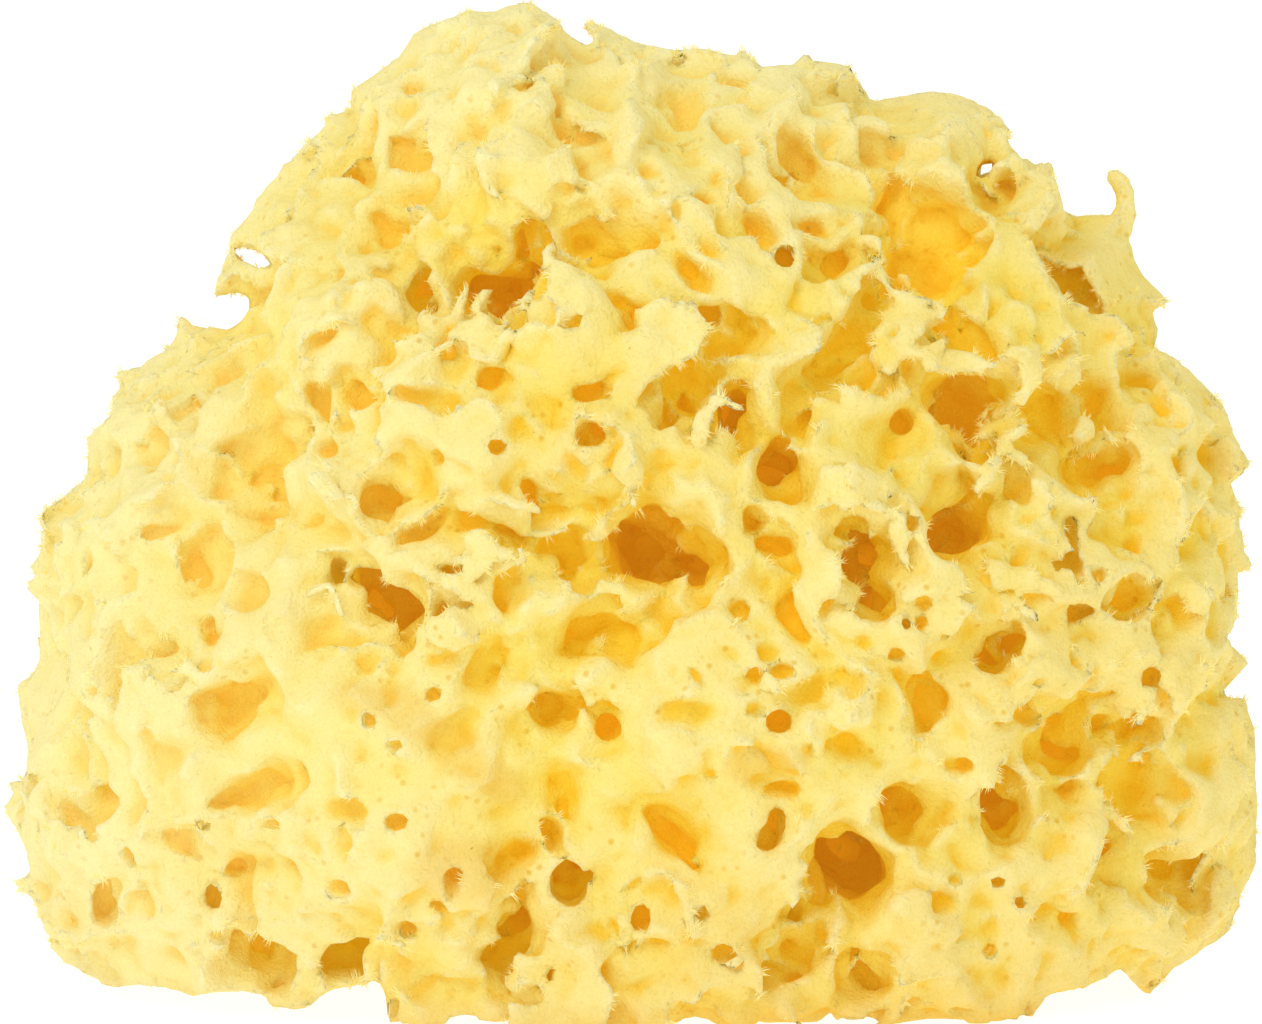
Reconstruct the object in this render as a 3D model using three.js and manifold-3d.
// A natural honeycomb sea sponge, dried and cut flat at the base, so that it stands like a dome.
// Millimetres. +X runs to the right of the face that is seen, +Y away from the viewer, +Z up.
// The origin is the middle of the flat base. The sponge grew as one piece, so it is one mesh.

import * as THREE from "three";
import { mergeVertices } from "three/addons/utils/BufferGeometryUtils.js";
import Module from "manifold-3d";

const wasm = await Module();
wasm.setup();

// Driving sizes.
const HALF_DEPTH = 51; // from the middle to the front or the back of the bulge
const HEART = new THREE.Vector3(0, 0, 50); // the point that the outline is drawn round
const PILLOW = 2.35; // 2 is an egg, and more is boxier
const SKIN_DETAIL = 9; // how finely the uncut dome is faceted
const FINER_FACE = new THREE.Vector3(0, -0.36, 0.16); // draws the facets to the face and the crown
const LUMP = 2.6; // how far the broad swellings stand out
const HOLLOW_DROP = 5; // how far the skin sinks, at most, round a channel's mouth

// Where the sponge is looked at from, and the plane through its middle that the outline and the
// pits are read in: u to the right, v up from the lowest point seen, both in millimetres.
const EYE_DISTANCE = 1100;
const EYE_ELEVATION = THREE.MathUtils.degToRad(5);
const BASE_V = 3.9; // v of the flat base, seen at the sponge's middle
const AIM = new THREE.Vector3(0, 0, 57);

// The outline, clockwise from the lower left corner, then on below the cut.
const OUTLINE = [
  [-64, 4.2], [-70.5, 8.5], [-72.6, 14], [-73.4, 20], [-74.2, 26], [-73, 32], [-73.4, 38],
  [-71.8, 44], [-71.4, 50], [-71.6, 55], [-70.4, 61], [-66, 65.5], [-64.4, 70.5], [-61.6, 76.5],
  [-56.5, 81], [-52, 85.5], [-49.5, 90], [-46.5, 96], [-42.5, 101.5], [-37.5, 107], [-33.5, 111],
  [-28.5, 115.2], [-24, 118.8], [-18, 120.7], [-12.5, 121.4], [-8.5, 118.8], [-3, 117.9],
  [4, 116.1], [12, 115.4], [19, 114.5], [25, 114.1], [29.5, 110.8], [35, 111], [41, 109.8],
  [44.8, 106.6], [50, 102.4], [51.5, 97], [57.5, 95.4], [60.6, 90], [62.6, 85], [62.8, 80.5],
  [67.5, 77], [71, 73], [72.2, 68], [72, 63], [73, 57], [72.6, 50], [71.6, 45], [73, 38],
  [74.6, 31], [75.2, 24], [74.8, 18], [72.6, 12], [68, 7], [60, 4.4],
  [48, -18], [0, -34], [-50, -18],
];

// The channels and hollows of the face, from the top down: u, v, width, height, turn in degrees
// anticlockwise, and depth.
const FACE_PITS = [
  // crown
  [-8.2, 107.6, 4.4, 5, 0, 6], [5.4, 110.6, 4.4, 4, 0, 5], [-26.6, 104.6, 5.8, 4.8, 0, 8],
  [-34.2, 103.8, 4, 4.6, 30, 6], [29.8, 104.6, 4.8, 3.8, 20, 6], [19.6, 102, 7.4, 6.4, 50, 10],
  [44.4, 101.4, 4, 5, -30, 10],
  // cave under the brow, and the ledges beside it
  [-13.6, 93, 5.4, 9.6, 10, 16], [-18.6, 89.4, 8.6, 5.6, -12, 24], [-26.4, 89, 4.4, 6, 10, 14],
  [-30.6, 96, 6.8, 3.8, -30, 5], [-3.6, 94.4, 9.8, 4, -6, 9], [18.3, 91.6, 3.4, 3.8, 0, 14],
  [14.2, 95.8, 7.4, 4.2, -50, 5], [25.2, 92, 5.8, 3.8, 0, 8],
  // valley on the right of the crown
  [34, 92.4, 6.6, 12.4, -12, 16], [38.8, 97, 9.4, 12, 0, 9], [31, 100, 4, 5, 0, 13],
  [52.4, 92, 5, 5.6, 15, 9],
  // upper face
  [12.2, 84.6, 8, 5.4, -15, 9], [6.6, 90, 8.6, 4.6, -35, 5], [-0.6, 86, 3.8, 6.8, 10, 6],
  [25.4, 80.6, 15.8, 5.4, 58, 11], [40.2, 83, 7, 7.4, 20, 9], [6, 76.4, 9.4, 7.8, 10, 11],
  [12.5, 72.7, 4.6, 5.6, -20, 26], [17.7, 67.1, 4.4, 6.2, 20, 24], [-4.4, 75.6, 6.2, 4.2, 20, 8],
  [-37.2, 74.8, 4, 6, -30, 8], [41, 75, 10.6, 5.6, 8, 22], [41.4, 70, 4, 6.4, 8, 18],
  [50.2, 73, 6.4, 8, 0, 11], [57.6, 74, 8, 12, 0, 7], [57, 66.4, 7.6, 6.8, 0, 10],
  [-46.4, 66, 8.6, 11.4, 0, 11], [-53, 73.4, 5, 4.6, -30, 5], [-29.8, 62.3, 5.8, 5, -20, 9],
  [32.7, 71.9, 3.4, 3.8, -15, 9],
  // middle
  [2.2, 56.6, 10, 9, 20, 32], [8, 55.8, 7.4, 4, -6, 22], [-8.4, 55.4, 5.8, 6.8, -30, 13],
  [-21.6, 59.2, 11.4, 3.8, 8, 5], [-11.4, 62, 3.8, 8, 15, 8], [18.4, 56.6, 4.8, 8.8, 15, 8],
  [30, 55.6, 6.8, 5.2, 15, 28], [29.4, 51, 3.6, 6.8, 5, 22], [40.4, 59.6, 9, 8.4, 40, 28],
  [45.8, 62.6, 5.6, 4.6, 20, 8], [54, 56.6, 6, 9.6, 0, 7], [-52.4, 53.8, 6, 7.6, 30, 9],
  [-31.2, 50, 10, 4.6, -48, 24], [18.8, 48, 8.4, 3.4, -50, 7], [44.4, 45, 5.4, 5.6, 20, 19],
  [-4.4, 45.7, 8.6, 4.6, 0, 10], [-53, 46, 7, 8, -20, 5], [57, 50, 9.4, 5.4, 15, 6],
  [-18.2, 42.4, 6, 3.4, 45, 7], [-15, 49.6, 5, 6.6, 10, 5],
  // lower face
  [-50.7, 36.4, 5.6, 5, 20, 12], [-10.3, 36.4, 4.2, 4.2, 0, 11], [-3.2, 34.8, 4.2, 4, 0, 11],
  [36.2, 38.2, 5.2, 6.8, 20, 9], [60.8, 34.3, 5.6, 5, 20, 16], [51.9, 31, 6.4, 4, 20, 16],
  [-46.4, 26.6, 11, 4.6, 22, 9], [45.2, 24.4, 5.4, 8.4, 28, 20], [33.2, 23.4, 8, 6.2, 0, 16],
  [60.4, 26.6, 8.4, 8, 0, 11], [4.8, 20.4, 10.2, 5.2, -50, 9], [16.6, 22.2, 4.2, 6, -20, 9],
  [-9.4, 24.2, 3.8, 7.4, -12, 7], [-7.9, 15.8, 4.6, 5.6, 10, 20], [26.2, 16.4, 10.6, 7.8, -32, 34],
  [57, 18.8, 4.6, 5, 0, 9], [67, 15.8, 6, 6.8, 0, 9], [-50, 15.6, 7, 5, 20, 9],
  [-63.4, 12.6, 4, 7, -15, 7], [-66, 26, 6.4, 5.6, -20, 6], [-15.8, 8.2, 5.8, 6.8, -30, 22],
  [-35.2, 6, 5.4, 7.4, 0, 20], [-46.3, 7, 7.2, 6, -35, 14], [19.4, 7.6, 5.6, 6.8, 0, 9],
  [28, 3.2, 4.8, 4, 0, 9],
];

// Bites out of the outline that go right through the rim: u, v, width, height, turn.
const RIM_BITES = [[-49.8, 84.8, 8.4, 4.4, 0]];
const BITE_REACH = 20;

// Tips and hooks that stand out past the outline: points u, v from root to tip, then the
// thickness at the root.
const RIM_TIPS = [
  { line: [[57.6, 93.4], [58.4, 97], [58.9, 99.2], [57.7, 101.4]], thick: 2.2 },
  { line: [[-1, 117], [-3.6, 118.6], [-6, 119.2]], thick: 1.8 },
  { line: [[20.6, 113], [20.6, 115.8]], thick: 2.2 },
  { line: [[12.4, 114], [13, 116.1]], thick: 2.2 },
  { line: [[60, 88], [64, 85.9]], thick: 4 },
  { line: [[70, 66.6], [74.2, 66.4]], thick: 5 },
  { line: [[70.6, 54.8], [74.7, 54.1]], thick: 3 },
  { line: [[70, 43.4], [73.9, 41.9]], thick: 4 },
  { line: [[-71, 26.6], [-75.6, 28.4]], thick: 3.4 },
  { line: [[-71, 25], [-75.4, 24.6]], thick: 4 },
  { line: [[-69.4, 14], [-74.4, 15.9]], thick: 3 },
  { line: [[-69, 55.2], [-72.4, 54.4]], thick: 3 },
  { line: [[-60, 76], [-62, 77.9]], thick: 3.4 },
  { line: [[-53.4, 81], [-54.2, 84.2]], thick: 3 },
  { line: [[-45, 89], [-50.6, 86.6]], thick: 4 },
];

// The rest of the sponge carries channels too, spread evenly and sized by a seeded draw.
const OTHER_PITS = 66; // over the whole dome, before the face's share is left out
const OTHER_WIDTH = [5, 12];
const OTHER_DEPTH = [7, 22];
const BASE_PITS = 9;
const FACE_LIMIT = -0.22; // a direction that points further to the front belongs to the face

// Small horn points where walls meet, all over the dome.
const HORNS = 52;
const HORN_LENGTH = [2, 3.4];
const HORN_THICKNESS = 2.4;

// Seeded numbers from 0 to 1, the same in every run.
function draws(seed) {
  let state = seed;
  return () => {
    state = (state * 1664525 + 1013904223) % 4294967296;
    return state / 4294967296;
  };
}

const between = ([low, high], share) => low + (high - low) * share;

// Turns a closed three.js geometry into a solid that can be joined and cut.
function solidOf(geometry) {
  const bare = new THREE.BufferGeometry();
  bare.setAttribute("position", geometry.getAttribute("position"));
  bare.setIndex(geometry.index);
  const merged = mergeVertices(bare, 1e-4);
  return new wasm.Manifold(
    new wasm.Mesh({
      numProp: 3,
      vertProperties: new Float32Array(merged.attributes.position.array),
      triVerts: new Uint32Array(merged.index.array),
    }),
  );
}

// The outline as a radius for each angle round the heart, straight from point to point.
const RAYS = OUTLINE.map(([u, v]) => {
  const x = u - HEART.x;
  const z = v - BASE_V - HEART.z;
  return { angle: Math.atan2(z, x), radius: Math.hypot(x, z) };
}).sort((a, b) => a.angle - b.angle);

function outlineRadius(angle) {
  const next = RAYS.findIndex((ray) => ray.angle > angle);
  const after = RAYS[next === -1 ? 0 : next];
  const before = RAYS[(next === -1 ? RAYS.length : next || RAYS.length) - 1];
  const turn = (a) => (a + 4 * Math.PI) % (2 * Math.PI);
  const share = turn(angle - before.angle) / turn(after.angle - before.angle);
  return before.radius + (after.radius - before.radius) * share;
}

// Broad swellings, as a few crossed waves.
function swelling({ x, y, z }) {
  const slow = Math.sin(7.1 * x + 2.3 * z + 0.4) * Math.cos(6.3 * z - 3.1 * y);
  const quick = Math.sin(13.7 * x - 9.1 * y + 1.9) * Math.cos(12.9 * z + 5.3 * x);
  return LUMP * (0.65 * slow + 0.35 * quick);
}

// How far the dome's hull, before any hollow, lies from the heart in a direction.
function hullRadius(direction) {
  const flat = Math.hypot(direction.x, direction.z);
  const across = flat / outlineRadius(Math.atan2(direction.z, direction.x));
  const through = Math.abs(direction.y) / HALF_DEPTH;
  const smooth = (across ** PILLOW + through ** PILLOW) ** (-1 / PILLOW);
  return smooth + swelling(direction) * Math.min(1, 2 * Math.abs(direction.y));
}

const hullPoint = (direction) => direction.clone().multiplyScalar(hullRadius(direction)).add(HEART);

// How far the skin sinks at a point of the hull: the deepest of the hollows that reach it.
function sinking(point, pits) {
  let deepest = 0;
  for (const pit of pits) {
    const reach = 0.8 * Math.max(pit.width, pit.height) + 3;
    const share = point.distanceTo(pit.point) / reach;
    if (share >= 1) continue;
    const drop = Math.min(HOLLOW_DROP, 0.45 * pit.depth);
    deepest = Math.max(deepest, drop * (1 - share * share));
  }
  return deepest;
}

function dome(pits) {
  const ball = mergeVertices(
    new THREE.IcosahedronGeometry(1, SKIN_DETAIL).deleteAttribute("normal").deleteAttribute("uv"),
  );
  const places = ball.getAttribute("position");
  const direction = new THREE.Vector3();
  for (let i = 0; i < places.count; i++) {
    direction.fromBufferAttribute(places, i).normalize().add(FINER_FACE).normalize();
    const point = hullPoint(direction);
    point.addScaledVector(direction, -sinking(point, pits));
    places.setXYZ(i, point.x, point.y, point.z);
  }
  return solidOf(ball);
}

const back = new THREE.Vector3(0, -Math.cos(EYE_ELEVATION), Math.sin(EYE_ELEVATION));
const eye = AIM.clone().addScaledVector(back, EYE_DISTANCE);
const RIGHT = new THREE.Vector3(1, 0, 0);

// The point of the middle plane that is read as u, v.
const planePoint = (u, v) => new THREE.Vector3(u, 0, v - BASE_V);

function isInside(point) {
  const arm = point.clone().sub(HEART);
  const reach = arm.length();
  return reach < hullRadius(arm.normalize());
}

// The line of sight through u, v, and where it first meets the skin. A line that misses the
// dome is given the point of the middle plane.
function sight(u, v) {
  const goal = planePoint(u, v);
  const line = goal.clone().sub(eye).normalize();
  const start = goal.clone().addScaledVector(line, -1.4 * HALF_DEPTH);
  const step = 0.5;
  for (let t = 0; t < 1.4 * HALF_DEPTH; t += step) {
    const point = start.clone().addScaledVector(line, t);
    if (isInside(point)) return { point, line };
  }
  return { point: goal, line };
}

// A closed tapered tube through rings of given centre, half width and half height, that ends in
// a tip. wide and tall are the section's two directions.
function taperedTube(rings, tip, wide, tall, sides, wobble = () => 1) {
  const points = [];
  for (const { centre, halfWide, halfTall } of rings) {
    for (let k = 0; k < sides; k++) {
      const angle = (2 * Math.PI * k) / sides;
      const swell = wobble();
      points.push(
        centre
          .clone()
          .addScaledVector(wide, halfWide * swell * Math.cos(angle))
          .addScaledVector(tall, halfTall * swell * Math.sin(angle)),
      );
    }
  }
  const first = points.push(rings[0].centre.clone()) - 1;
  const last = points.push(tip) - 1;
  const faces = [];
  for (let k = 0; k < sides; k++) {
    const next = (k + 1) % sides;
    faces.push(first, next, k);
    for (let ring = 0; ring < rings.length - 1; ring++) {
      const a = ring * sides;
      const b = a + sides;
      faces.push(a + k, a + next, b + next, a + k, b + next, b + k);
    }
    const end = (rings.length - 1) * sides;
    faces.push(last, end + k, end + next);
  }
  const tube = new THREE.BufferGeometry().setFromPoints(points).setIndex(faces);
  const solid = solidOf(tube);
  if (solid.volume() > 0) return solid;
  for (let i = 0; i < faces.length; i += 3) {
    [faces[i + 1], faces[i + 2]] = [faces[i + 2], faces[i + 1]];
  }
  return solidOf(tube.setIndex(faces));
}

// A channel: a flared mouth that narrows to a point. Positions along it are shares of its depth,
// and widths are shares of its mouth.
const SHALLOW = [{ at: 0.6, width: 0.84 }];
const DEEP = [
  { at: 0.3, width: 0.92 },
  { at: 0.8, width: 0.66 },
];
const DEEP_FROM = 14;
const FLARE = 1.5;

function channel({ point, inward, wide, tall, width, height, depth }, random) {
  const outside = 2.5 + 0.3 * Math.max(width, height);
  const ring = (distance, share) => ({
    centre: point.clone().addScaledVector(inward, distance),
    halfWide: (share * width) / 2,
    halfTall: (share * height) / 2,
  });
  const inner = depth > DEEP_FROM ? DEEP : SHALLOW;
  const rings = [ring(-outside, FLARE), ...inner.map(({ at, width: w }) => ring(at * depth, w))];
  const tip = point.clone().addScaledVector(inward, depth);
  const sides = Math.max(width, height) > 6 ? 7 : 5;
  return taperedTube(rings, tip, wide, tall, sides, () => between([0.88, 1.12], random()));
}

// The two directions across an inward line, turned by degrees from the horizontal one.
function acrossOf(inward, degrees) {
  const level = Math.abs(inward.z) > 0.95 ? RIGHT : new THREE.Vector3(0, 0, 1);
  const side = inward.clone().cross(level).normalize();
  const up = side.clone().cross(inward).normalize();
  const turn = THREE.MathUtils.degToRad(degrees);
  const wide = side.clone().multiplyScalar(Math.cos(turn)).addScaledVector(up, Math.sin(turn));
  const tall = up.clone().multiplyScalar(Math.cos(turn)).addScaledVector(side, -Math.sin(turn));
  return { wide, tall };
}

function facePit([u, v, width, height, turn, depth]) {
  const { point, line } = sight(u, v);
  const inward = line
    .clone()
    .multiplyScalar(2)
    .add(HEART.clone().sub(point).normalize())
    .normalize();
  return { point, inward, ...acrossOf(inward, turn), width, height, depth };
}

// A bite reaches as far in front of the middle plane as behind it.
function rimBite([u, v, width, height, turn]) {
  const { line } = sight(u, v);
  const point = planePoint(u, v).addScaledVector(line, -BITE_REACH);
  return { point, inward: line, ...acrossOf(line, turn), width, height, depth: 2.6 * BITE_REACH };
}

// Even directions over a ball, from a golden spiral, each with its number.
function evenDirections(count) {
  const golden = Math.PI * (3 - Math.sqrt(5));
  return Array.from({ length: count }, (_, i) => {
    const z = 1 - (2 * (i + 0.5)) / count;
    const flat = Math.sqrt(1 - z * z);
    return new THREE.Vector3(flat * Math.cos(golden * i), flat * Math.sin(golden * i), z);
  });
}

function otherPits(random) {
  const pits = [];
  for (const direction of evenDirections(OTHER_PITS)) {
    const jitter = new THREE.Vector3(random() - 0.5, random() - 0.5, random() - 0.5);
    direction.addScaledVector(jitter, 0.14).normalize();
    const point = hullPoint(direction);
    const size = random() ** 1.6;
    const width = between(OTHER_WIDTH, size);
    const height = width * between([0.55, 0.95], random());
    const depth = between(OTHER_DEPTH, 0.6 * size + 0.4 * random());
    const turn = 180 * random();
    if (direction.y < FACE_LIMIT || point.z < 6) continue;
    const inward = direction.clone().negate().addScaledVector(jitter, 0.7).normalize();
    pits.push({ point, inward, ...acrossOf(inward, turn), width, height, depth });
  }
  return pits;
}

// Channels that open in the cut base.
function basePits(random) {
  const pits = [];
  const inward = new THREE.Vector3(0, 0, 1);
  for (let i = 0; i < BASE_PITS; i++) {
    const angle = 2.4 * i;
    const share = 0.2 + 0.62 * Math.sqrt((i + 0.5) / BASE_PITS);
    const point = new THREE.Vector3(58 * share * Math.cos(angle), 38 * share * Math.sin(angle), 0);
    const width = between([4, 8], random());
    const height = width * between([0.6, 1], random());
    const across = acrossOf(inward, 180 * random());
    pits.push({ point, inward, ...across, width, height, depth: width * 1.4 });
  }
  return pits;
}

// A pointed spike along a line of points, thick at the root.
function spike(points, thickness, sides = 5) {
  const tip = points[points.length - 1];
  const { wide, tall } = acrossOf(tip.clone().sub(points[0]).normalize(), 0);
  const rings = points.slice(0, -1).map((centre, i) => {
    const half = (thickness / 2) * (1 - 0.6 * (i / (points.length - 1)));
    return { centre, halfWide: half, halfTall: half };
  });
  return taperedTube(rings, tip, wide, tall, sides);
}

const rimTip = ({ line, thick }) => spike(line.map(([u, v]) => planePoint(u, v)), thick);

function horns(random) {
  return evenDirections(HORNS)
    .map((direction) => {
      const root = direction.clone().multiplyScalar(hullRadius(direction) - 4);
      const length = 4 + between(HORN_LENGTH, random());
      const lean = new THREE.Vector3(random() - 0.5, random() - 0.5, random() - 0.3);
      const tip = root.clone().addScaledVector(direction.addScaledVector(lean, 0.5), length);
      return [root.add(HEART), tip.add(HEART)];
    })
    .filter(([root]) => root.z > 8 && root.z < 104 && Math.abs(root.x) < 66)
    .map((points) => spike(points, HORN_THICKNESS, 4));
}

function belowBase() {
  const block = new THREE.BoxGeometry(400, 400, 200);
  block.translate(0, 0, -100);
  return solidOf(block);
}

function sponge() {
  const random = draws(41);
  const { union } = wasm.Manifold;
  const skinPits = [...FACE_PITS.map(facePit), ...otherPits(random)];
  const pits = [...skinPits, ...RIM_BITES.map(rimBite), ...basePits(random)];
  const grown = union([dome(skinPits), ...horns(random), ...RIM_TIPS.map(rimTip)]);
  const hollows = union([...pits.map((pit) => channel(pit, random)), belowBase()]);
  const pieces = grown.subtract(hollows).decompose();
  const whole = pieces.sort((a, b) => b.volume() - a.volume())[0];
  const { min, max } = whole.boundingBox();
  return whole.translate([-(min[0] + max[0]) / 2, -(min[1] + max[1]) / 2, -min[2]]);
}

function meshOf(solid, name, material) {
  const { vertProperties, triVerts } = solid.getMesh();
  const geometry = new THREE.BufferGeometry();
  geometry.setAttribute("position", new THREE.BufferAttribute(vertProperties, 3));
  geometry.setIndex(new THREE.BufferAttribute(triVerts, 1));
  geometry.computeVertexNormals();
  const mesh = new THREE.Mesh(geometry, material);
  mesh.name = name;
  return mesh;
}

const spongin = new THREE.MeshStandardMaterial({ color: 0xf4dc82, roughness: 0.95, metalness: 0 });

const object = new THREE.Group();
object.add(meshOf(sponge(), "sponge", spongin));

export default object;
